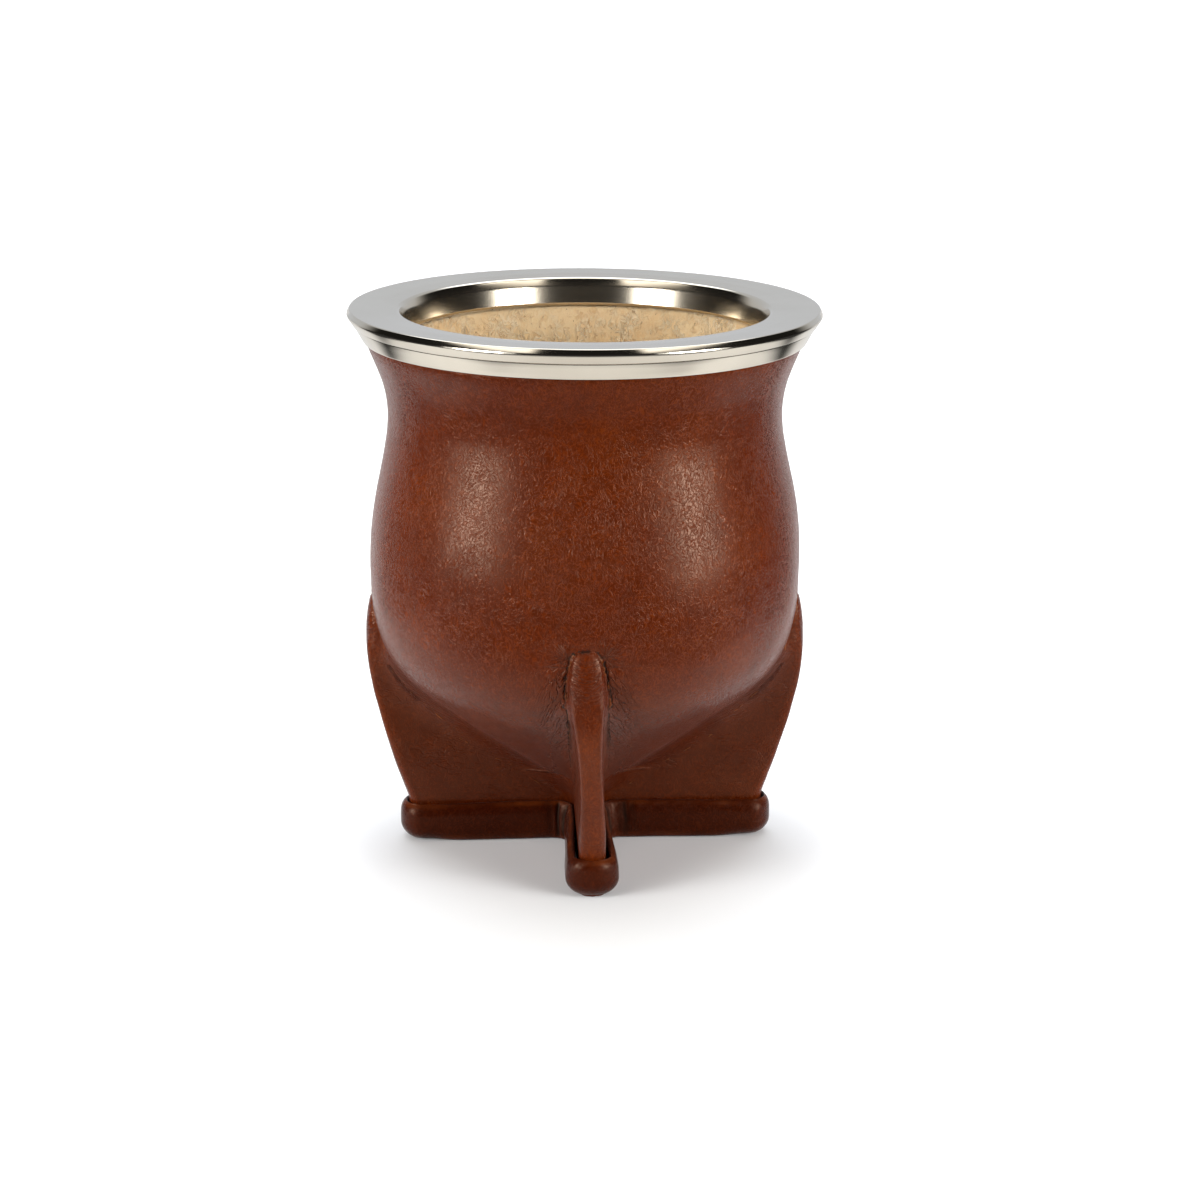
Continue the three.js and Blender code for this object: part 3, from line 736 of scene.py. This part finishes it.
class Graph:
    """Short calls for a node tree."""

    def __init__(self, nt):
        self.nt = nt

    def new(self, kind, **props):
        n = self.nt.nodes.new(kind)
        for k, v in props.items():
            setattr(n, k, v)
        return n

    def put(self, socket, value):
        if isinstance(value, bpy.types.NodeSocket):
            self.nt.links.new(value, socket)
        else:
            socket.default_value = value

    def maths(self, op, a, b=0.0, c=0.0, clamp=False):
        n = self.new("ShaderNodeMath", operation=op, use_clamp=clamp)
        for i, v in enumerate((a, b, c)):
            self.put(n.inputs[i], v)
        return n.outputs[0]

    def coords(self):
        return self.new("ShaderNodeTexCoord").outputs["Object"]

    def scaled(self, vec, scale, offset=(0, 0, 0), rotation=(0, 0, 0)):
        n = self.new("ShaderNodeMapping")
        self.put(n.inputs["Vector"], vec)
        n.inputs["Scale"].default_value = scale if hasattr(scale, "__len__") else (scale,) * 3
        n.inputs["Location"].default_value = offset
        n.inputs["Rotation"].default_value = rotation
        return n.outputs[0]

    def noise(self, vec, scale, detail=2.0, rough=0.5, distortion=0.0):
        n = self.new("ShaderNodeTexNoise")
        self.put(n.inputs["Vector"], vec)
        n.inputs["Scale"].default_value = scale
        n.inputs["Detail"].default_value = detail
        n.inputs["Roughness"].default_value = rough
        n.inputs["Distortion"].default_value = distortion
        return n.outputs["Fac"]

    def noise_vec(self, vec, scale, detail=2.0):
        n = self.new("ShaderNodeTexNoise")
        self.put(n.inputs["Vector"], vec)
        n.inputs["Scale"].default_value = scale
        n.inputs["Detail"].default_value = detail
        return n.outputs["Color"]

    def cells(self, vec, scale, feature="DISTANCE_TO_EDGE", randomness=1.0):
        n = self.new("ShaderNodeTexVoronoi", feature=feature)
        self.put(n.inputs["Vector"], vec)
        n.inputs["Scale"].default_value = scale
        n.inputs["Randomness"].default_value = randomness
        return n.outputs["Distance"]

    def ramp(self, fac, stops, interpolation="LINEAR"):
        n = self.new("ShaderNodeValToRGB")
        n.color_ramp.interpolation = interpolation
        e = n.color_ramp.elements
        while len(e) < len(stops):
            e.new(0.5)
        for el, (p, c) in zip(e, stops):
            el.position = p
            el.color = (*c, 1) if hasattr(c, "__len__") else (c, c, c, 1)
        self.put(n.inputs["Fac"], fac)
        return n.outputs["Color"]

    def range(self, value, a, b, c=0.0, d=1.0, smooth_step=False):
        n = self.new("ShaderNodeMapRange", interpolation_type="SMOOTHSTEP" if smooth_step else "LINEAR")
        self.put(n.inputs["Value"], value)
        for k, v in (("From Min", a), ("From Max", b), ("To Min", c), ("To Max", d)):
            n.inputs[k].default_value = v
        return n.outputs[0]

    def mix(self, fac, a, b, blend="MIX"):
        n = self.new("ShaderNodeMix", data_type="RGBA", blend_type=blend)
        self.put(n.inputs["Factor"], fac)
        for sock, v in ((n.inputs[6], a), (n.inputs[7], b)):
            self.put(sock, (*v, 1) if isinstance(v, tuple) and len(v) == 3 else v)
        return n.outputs[2]

    def add_vec(self, a, b, k):
        n = self.new("ShaderNodeVectorMath", operation="MULTIPLY_ADD")
        self.put(n.inputs[0], b)
        n.inputs[1].default_value = (k, k, k)
        self.put(n.inputs[2], a)
        return n.outputs[0]

    def bump(self, height, strength, distance, normal=None):
        n = self.new("ShaderNodeBump")
        n.inputs["Strength"].default_value = strength
        n.inputs["Distance"].default_value = distance
        self.put(n.inputs["Height"], height)
        if normal is not None:
            self.put(n.inputs["Normal"], normal)
        return n.outputs[0]

    def attribute(self, name):
        return self.new("ShaderNodeAttribute", attribute_name=name, attribute_type="GEOMETRY").outputs["Fac"]

    def surface(self, **sockets):
        p = self.new("ShaderNodeBsdfPrincipled")
        for k, v in sockets.items():
            key = k.replace("_", " ")
            names = {i.name.lower(): i for i in p.inputs}
            s = names[key.lower()]
            self.put(s, (*v, 1) if isinstance(v, tuple) and len(v) == 3 and s.type == "RGBA" else v)
        out = self.new("ShaderNodeOutputMaterial")
        self.nt.links.new(p.outputs[0], out.inputs["Surface"])
        return p


def leather_material(name, deep, mid, warm, edge_highlight, grain=1.0, gloss=0.17, seamed=False):
    m, nt = nodes_of(name)
    g = Graph(nt)
    co = g.coords()
    # grain: short wandering ridges with sharp crests, stretched a little upright, over fine pores
    warp = g.noise_vec(co, 210.0, 1.0)
    w = g.scaled(g.add_vec(co, warp, 0.0026), (1.0, 1.0, 0.70))
    crest = None
    for scale, share in ((1400.0, 0.62), (2500.0, 0.38)):
        line = g.maths("ABSOLUTE", g.maths("SUBTRACT", g.noise(w, scale, 0.0, 0.5, 0.8), 0.5))
        line = g.maths("MULTIPLY", g.range(line, 0.0, 0.085, 1.0, 0.0, True), share)
        crest = line if crest is None else g.maths("ADD", crest, line)
    fine = g.noise(co, 2600.0, 2.0, 0.6)
    patch = g.range(g.noise(co, 55.0, 2.0, 0.55), 0.35, 0.62, 0.6, 1.0, True)
    glossy = g.attribute("glossy")
    calm = g.maths("MULTIPLY", g.range(g.attribute("shade"), 0.0, 0.45, 1.0, 0.38), g.range(glossy, 0.0, 1.0, 1.0, 0.4))
    h = g.maths("MULTIPLY", crest, g.maths("MULTIPLY", patch, calm))
    h = g.maths("ADD", h, g.maths("MULTIPLY", fine, 0.16))
    normal = g.bump(h, 1.0, 0.00007 * grain)
    # on the fins' sides the skin is smoother, with short level wrinkles
    level = g.maths("ABSOLUTE", g.maths("SUBTRACT", g.noise(g.scaled(g.add_vec(co, warp, 0.0016), (0.42, 0.42, 1.0)), 900.0, 1.0, 0.5, 0.4), 0.5))
    level = g.range(level, 0.0, 0.07, 0.0, 1.0, True)
    level_on = g.maths("MULTIPLY", g.range(g.attribute("shade"), 0.05, 0.4, 0.0, 1.0), g.range(g.noise(co, 120.0, 2.0), 0.42, 0.62, 0.0, 1.0, True))
    normal = g.bump(g.maths("MULTIPLY", level, level_on), 1.0, 0.00005, normal)
    # folds gathered round the fins
    place = g.new("ShaderNodeCombineXYZ")
    g.put(place.inputs[0], g.attribute("fold_u"))
    g.put(place.inputs[1], g.attribute("fold_v"))
    fold_line = g.maths("ABSOLUTE", g.maths("SUBTRACT", g.noise(place.outputs[0], 1.0, 1.0, 0.5, 0.35), 0.5))
    fold_line = g.range(fold_line, 0.0, 0.085, 0.0, 1.0, True)
    gathered = g.attribute("fold")
    normal = g.bump(g.maths("MULTIPLY", fold_line, gathered), 1.0, 0.00028, normal)
    # colour: slow dyed patches, a mottle, then painted shade in the hollows of the grain and a painted highlight on its
    # crests
    slow = g.noise(g.scaled(co, (1, 1, 1.3)), 38.0, 3.0, 0.55, 0.4)
    mottle = g.noise(co, 210.0, 4.0, 0.6)
    col = g.mix(g.range(slow, 0.36, 0.66, 0.1, 0.6, True), mid, warm)
    col = g.mix(g.range(mottle, 0.42, 0.75, 0.0, 0.35, True), col, deep)
    # painted shade in the grain's hollows and painted highlight on its crests
    col = g.mix(g.range(crest, 0.0, 0.45, 0.50, 0.0), col, deep)
    col = g.mix(g.range(crest, 0.4, 1.0, 0.0, 0.40), col, warm)
    # painted shade in the grooves of the folds round the fins
    col = g.mix(g.maths("MULTIPLY", g.maths("SUBTRACT", 1.0, fold_line), g.maths("MULTIPLY", gathered, 0.45)), col, deep)
    # painted shade on the fins' side faces and in the hollow under the belly
    col = g.mix(g.attribute("shade"), col, tuple(0.42 * v for v in deep))
    # painted highlight on the band's top edge and lower rounded edge
    col = g.mix(g.maths("MULTIPLY", g.attribute("edge_highlight"), g.range(g.noise(co, 160.0, 2.0), 0.35, 0.65, 0.15, 0.85, True)), col, edge_highlight)
    crease_shade = g.attribute("crease_shade")
    if seamed:
        # the seam round each fin: a fine broken line with pits, painted dark as shade, and small bulges of leather
        # inside it, raised in the bump and painted lighter as highlights
        s = g.maths("ADD", g.attribute("seam"), g.maths("MULTIPLY", g.maths("SUBTRACT", g.noise(co, 620.0, 2.0), 0.5), 0.9))
        off = g.maths("ABSOLUTE", s)
        line = g.range(off, 0.03, 0.20, 1.0, 0.0, True)
        line = g.maths("MULTIPLY", line, g.range(g.noise(co, 780.0, 1.0), 0.42, 0.56, 0.12, 1.0, True))
        pits = g.maths("MULTIPLY", g.range(off, 0.22, 0.42, 1.0, 0.0, True), g.range(g.noise(co, 1500.0, 1.0), 0.60, 0.66, 0.0, 1.0, True))
        line = g.maths("MULTIPLY", g.maths("MAXIMUM", line, pits), g.attribute("sewn"))
        lit = g.maths("MULTIPLY", g.range(g.maths("ABSOLUTE", g.maths("ADD", s, 0.34)), 0.05, 0.26, 1.0, 0.0, True), g.range(g.noise(co, 520.0, 1.0), 0.54, 0.64, 0.0, 1.0, True))
        # painted highlight on the small bulges beside the seam
        col = g.mix(g.maths("MULTIPLY", lit, 0.6), col, (0.26, 0.075, 0.016))
        normal = g.bump(g.maths("SUBTRACT", g.maths("MULTIPLY", lit, 0.5), line), 1.0, 0.00022, normal)
        crease_shade = g.maths("MAXIMUM", crease_shade, line)
    # painted shade: the creases, pinholes, wrinkle valleys and seam line go nearly black
    col = g.mix(g.maths("MULTIPLY", crease_shade, 0.92, clamp=True), col, (0.004, 0.0013, 0.0007))
    rough = g.range(g.maths("ADD", mottle, g.maths("MULTIPLY", fine, 0.4)), 0.4, 1.0, 0.19, 0.25)
    rough = g.maths("ADD", rough, g.maths("MULTIPLY", crease_shade, 0.3), clamp=True)
    rough = g.maths("SUBTRACT", rough, g.maths("MULTIPLY", glossy, 0.04), clamp=True)
    rough = g.maths("ADD", rough, g.maths("MULTIPLY", g.attribute("shade"), 0.2), clamp=True)
    g.surface(
        Base_Color=col, Roughness=rough, Normal=normal, Specular_IOR_Level=gloss, Specular_Tint=(1.0, 0.65, 0.46),
        Sheen_Weight=0.04, Sheen_Roughness=0.4, Sheen_Tint=(1.0, 0.80, 0.74),
    )
    return m


def metal_material():
    m, nt = nodes_of("polished_sheet_metal")
    g = Graph(nt)
    co = g.coords()
    smudge = g.noise(co, 60.0, 3.0, 0.6)
    # very fine turning lines round the ring
    sep = g.new("ShaderNodeSeparateXYZ")
    g.put(sep.inputs[0], co)
    r = g.maths("SQRT", g.maths("ADD", g.maths("MULTIPLY", sep.outputs[0], sep.outputs[0]), g.maths("MULTIPLY", sep.outputs[1], sep.outputs[1])))
    comb = g.new("ShaderNodeCombineXYZ")
    g.put(comb.inputs[0], g.maths("MULTIPLY", r, 1.0))
    g.put(comb.inputs[1], g.maths("MULTIPLY", sep.outputs[2], 1.0))
    lines = g.noise(comb.outputs[0], 9000.0, 2.0, 0.7)
    rough = g.range(smudge, 0.3, 0.75, 0.06, 0.11)
    rough = g.maths("ADD", rough, g.maths("MULTIPLY", lines, 0.03))
    rough = g.maths("ADD", rough, g.range(r, 0.0362, 0.0372, 0.09, 0.0, True))
    normal = g.bump(lines, 0.05, 0.00002)
    col = g.mix(g.range(smudge, 0.35, 0.7), (0.62, 0.575, 0.49), (0.58, 0.535, 0.45))
    col = g.mix(g.range(r, 0.0362, 0.0372, 0.8, 0.0, True), col, (0.60, 0.525, 0.41))
    g.surface(Base_Color=col, Metallic=1.0, Roughness=rough, Normal=normal)
    return m


def gourd_material():
    m, nt = nodes_of("dry_gourd")
    g = Graph(nt)
    co = g.coords()
    # the scraped inner skin: small torn flakes and fibres lying every way, with brown specks
    bent = g.add_vec(co, g.noise_vec(co, 420.0, 2.0), 0.0030)
    lumps = g.noise(co, 190.0, 3.0, 0.6)
    slow = g.noise(co, 70.0, 2.0)
    strands = None
    for turn, scale in ((0.5, (1.0, 1.0, 0.30)), (-0.8, (1.0, 1.0, 0.34)), (1.4, (0.8, 0.8, 0.42))):
        v = g.scaled(bent, scale, rotation=(turn, turn * 0.7, turn * 0.3))
        line = g.maths("ABSOLUTE", g.maths("SUBTRACT", g.noise(v, 900.0, 1.0, 0.5, 0.3), 0.5))
        line = g.range(line, 0.0, 0.055, 1.0, 0.0, True)
        strands = line if strands is None else g.maths("MAXIMUM", strands, g.maths("MULTIPLY", line, 0.8))
    where_on = g.range(g.noise(co, 260.0, 2.0), 0.40, 0.62, 0.25, 1.0, True)
    strands = g.maths("MULTIPLY", strands, where_on)
    speck = g.range(g.noise(g.scaled(bent, (1, 1, 0.8)), 1500.0, 1.0), 0.70, 0.75, 0.0, 1.0, True)
    hollows = g.range(g.noise(bent, 520.0, 2.0, 0.6), 0.34, 0.46, 1.0, 0.0, True)
    col = g.mix(g.range(slow, 0.35, 0.65), (0.87, 0.615, 0.33), (0.94, 0.73, 0.435))
    col = g.mix(g.range(lumps, 0.35, 0.7, 0.0, 0.6), col, (0.96, 0.79, 0.52))
    col = g.mix(g.maths("MULTIPLY", hollows, 0.36), col, (0.66, 0.41, 0.18))
    col = g.mix(g.maths("MULTIPLY", strands, 0.75), col, (0.98, 0.88, 0.68))
    col = g.mix(g.maths("MULTIPLY", speck, 0.6), col, (0.30, 0.15, 0.055))
    h = g.maths("ADD", g.maths("MULTIPLY", lumps, 0.4), g.maths("MULTIPLY", strands, 0.35))
    h = g.maths("SUBTRACT", h, g.maths("MULTIPLY", hollows, 0.25))
    g.surface(Base_Color=col, Roughness=g.range(lumps, 0.3, 0.7, 0.75, 0.95), Normal=g.bump(h, 1.0, 0.00055), Specular_IOR_Level=0.3)
    return m


leather = leather_material("waxed_leather", (0.047, 0.0056, 0.0005), (0.104, 0.0130, 0.0011), (0.165, 0.0272, 0.0024), (0.17, 0.036, 0.007), gloss=0.32, seamed=True)
band_leather = leather_material("waxed_leather_band", (0.020, 0.0022, 0.0004), (0.040, 0.0048, 0.0007), (0.060, 0.0088, 0.0013), (0.110, 0.021, 0.0032), 0.45, 0.16)
metal = metal_material()
dry = gourd_material()
for ob, mat, node, slot in (
    (cover, leather, "leather_cover", "leather"),
    (band, band_leather, "foot_strap", "strap"),
    (ring, metal, "rim", "rim"),
    (wall, dry, "gourd", "gourd"),
):
    ob.data.materials.append(mat)
    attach(ob, "root")
    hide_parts(node)

# ---------------------------------------------------------------- floor, light, camera
fm = bpy.data.meshes.new("floor")
fm.from_pydata([(-6, -6, 0), (6, -6, 0), (6, 6, 0), (-6, 6, 0)], [], [(0, 1, 2, 3)])
floor = bpy.data.objects.new("floor", fm)
scene.collection.objects.link(floor)
m, nt = nodes_of("pale_floor")
g = Graph(nt)
diffuse = g.new("ShaderNodeBsdfDiffuse")
# the white sheet is small: past its edge, in front and beside the cup, the room's floor is dark
where = g.new("ShaderNodeSeparateXYZ")
g.put(where.inputs[0], g.coords())
side_at = g.maths("ABSOLUTE", where.outputs[0])
round_at = g.maths("MULTIPLY", g.maths("ARCTAN2", side_at, g.maths("MULTIPLY", where.outputs[1], -1.0)), 57.29578)
near = g.maths("SQRT", g.maths("ADD", g.maths("POWER", side_at, 2.0), g.maths("POWER", g.maths("ADD", where.outputs[1], 0.022), 2.0)))
off_axis = g.maths("SQRT", g.maths("ADD", g.maths("POWER", side_at, 2.0), g.maths("POWER", where.outputs[1], 2.0)))
stretch = g.range(round_at, 45, 95, 1.35, 0.84, True)
past = g.maths("MULTIPLY", g.range(g.maths("MULTIPLY", off_axis, stretch), 0.125, 0.165, 0.0, 1.0, True), g.range(round_at, 124, 142, 1.0, 0.0, True))
past = g.maths("MULTIPLY", past, g.maths("SUBTRACT", 1.0, g.new("ShaderNodeLightPath").outputs["Is Camera Ray"]))
seen = g.new("ShaderNodeLightPath").outputs["Is Camera Ray"]
g.put(diffuse.inputs["Color"], g.mix(past, g.mix(seen, (0.78, 0.78, 0.78), (0.785, 0.80, 0.81)), (0.035, 0.035, 0.035)))
# painted light: for the camera the floor glows, weakly round the cup's foot and strongly beyond it, so the glow sets
# where the cup's shadow fades out and whitens the far floor
glow = g.new("ShaderNodeEmission")
glow.inputs["Color"].default_value = (1, 1, 1, 1)
g.put(glow.inputs["Strength"], g.maths("MULTIPLY", g.range(near, 0.040, 0.085, 0.05, 0.58, True), seen))
both = g.new("ShaderNodeAddShader")
nt.links.new(diffuse.outputs[0], both.inputs[0])
nt.links.new(glow.outputs[0], both.inputs[1])
out = g.new("ShaderNodeOutputMaterial")
nt.links.new(both.outputs[0], out.inputs[0])
fm.materials.append(m)




def lit_group(name, members):
    group = bpy.data.collections.new(name)
    for ob in members:
        group.objects.link(ob)
    return group


def standing_box(side, azimuth, distance, width, low, high, radiance, group):
    """An upright soft box in front of the cup, left (-1) or right (1) of the camera."""
    d = bpy.data.lights.new("tall_box", "AREA")
    d.shape = "RECTANGLE"
    d.size, d.size_y = width, high - low
    d.energy = radiance * math.pi * d.size * d.size_y
    ob = bpy.data.objects.new("tall_box_" + ("left" if side < 0 else "right"), d)
    scene.collection.objects.link(ob)
    az = math.radians(azimuth)
    ob.location = (side * distance * math.sin(az), -distance * math.cos(az), (low + high) / 2)
    ob.rotation_euler = (math.pi / 2, 0, side * az)
    ob.light_linking.receiver_collection = group


# Each is brighter in its middle than at its edges, so it is built one inside the other.
# The ring has its own pair, nearer to the camera.
matt = lit_group("lit_leather", (cover, band, wall, floor))
bright = lit_group("lit_ring", (ring,))
for side, azimuth, azimuth_ring in ((-1, 61, 51), (1, 56, 48)):
    standing_box(side, azimuth, 0.43, 0.29, 0.0, 0.30, 3.2, matt)
    standing_box(side, azimuth, 0.42, 0.19, 0.03, 0.265, 5.0, matt)
    standing_box(side, azimuth, 0.41, 0.10, 0.06, 0.225, 8.5, matt)
    standing_box(side, azimuth_ring, 0.43, 0.27, 0.0, 0.30, 1.1, bright)
    standing_box(side, azimuth_ring, 0.42, 0.17, 0.0, 0.30, 9.0, bright)

world = bpy.data.worlds.new("studio")
scene.world = world
world.use_nodes = True
nt = world.node_tree
nt.nodes.clear()
g = Graph(nt)
way = g.new("ShaderNodeTexCoord").outputs["Generated"]
sep = g.new("ShaderNodeSeparateXYZ")
g.put(sep.inputs[0], way)
# Azimuth is measured from the camera's side (y < 0) to either side, elevation from the floor, in degrees.
side_way = g.maths("ABSOLUTE", sep.outputs[0])
azimuth = g.maths("MULTIPLY", g.maths("ARCTAN2", side_way, g.maths("MULTIPLY", sep.outputs[1], -1.0)), 57.29578)
height = g.maths("MULTIPLY", g.maths("ARCSINE", sep.outputs[2]), 57.29578)


def window(value, lo, hi, edge):
    """1 between lo and hi, with soft edges."""
    return g.maths(
        "MULTIPLY",
        g.range(value, lo - edge, lo + edge, 0.0, 1.0, True),
        g.range(value, hi - edge, hi + edge, 1.0, 0.0, True),
    )


def patch(az, el, edge, radiance):
    return g.maths("MULTIPLY", g.maths("MULTIPLY", window(azimuth, *az, edge), window(height, *el, edge)), radiance)


# a broad soft light overhead and a little behind the cup
tip = math.radians(22)
over = g.new("ShaderNodeVectorMath", operation="DOT_PRODUCT")
g.put(over.inputs[0], way)
over.inputs[1].default_value = (0.0, math.sin(tip), math.cos(tip))
top_light = g.range(over.outputs["Value"], math.cos(math.radians(36)), math.cos(math.radians(28)), 0.0, 2.7, True)
level = patch((131, 250), (-10, 75), 9, 0.775)  # the pale backdrop
for part in (
    patch((31, 84), (40, 58), 4.0, 2.4),  # a wide soft box above and beside each standing one
    patch((-20, 14), (-20, 24), 5.0, 0.02),  # the wall behind the camera
    top_light,
):
    level = g.maths("ADD", level, part)
level = g.maths("ADD", level, 0.014)
bg = g.new("ShaderNodeBackground")
g.put(bg.inputs["Color"], g.mix(g.range(azimuth, 118, 140, 0.0, 1.0), (1.0, 0.95, 0.88), (0.845, 0.88, 0.945)))
g.put(bg.inputs["Strength"], level)
seen = g.new("ShaderNodeBackground")
seen.inputs["Strength"].default_value = 1.0
pick = g.new("ShaderNodeMixShader")
g.put(pick.inputs[0], g.new("ShaderNodeLightPath").outputs["Is Camera Ray"])
nt.links.new(bg.outputs[0], pick.inputs[1])
nt.links.new(seen.outputs[0], pick.inputs[2])
wo = g.new("ShaderNodeOutputWorld")
nt.links.new(pick.outputs[0], wo.inputs[0])

# The camera stands 0.55 m from the cup's axis and 0.208 m up, looks 15.95 degrees down,
# and a little to the right of the axis. The cup's front fin is turned slightly away from it.
D, HEIGHT, PITCH = 0.549687, 0.207843, 0.2784
STAND = math.radians(-2.2)
cam_data = bpy.data.cameras.new("camera")
cam = bpy.data.objects.new("camera", cam_data)
scene.collection.objects.link(cam)
cam_data.sensor_width = 36.0
cam_data.lens = 2775.03 / 1200 * 36.0
cam_data.clip_start, cam_data.clip_end = 0.02, 30
cam.location = (D * math.sin(STAND), -D * math.cos(STAND), HEIGHT)
yaw = math.atan((600 - 585.3) / 2775.03 / math.cos(PITCH))
cam.rotation_euler = (math.pi / 2 - PITCH, 0, STAND - yaw)
scene.camera = cam
scene.view_settings.view_transform = "Standard"
scene.view_settings.look = "None"
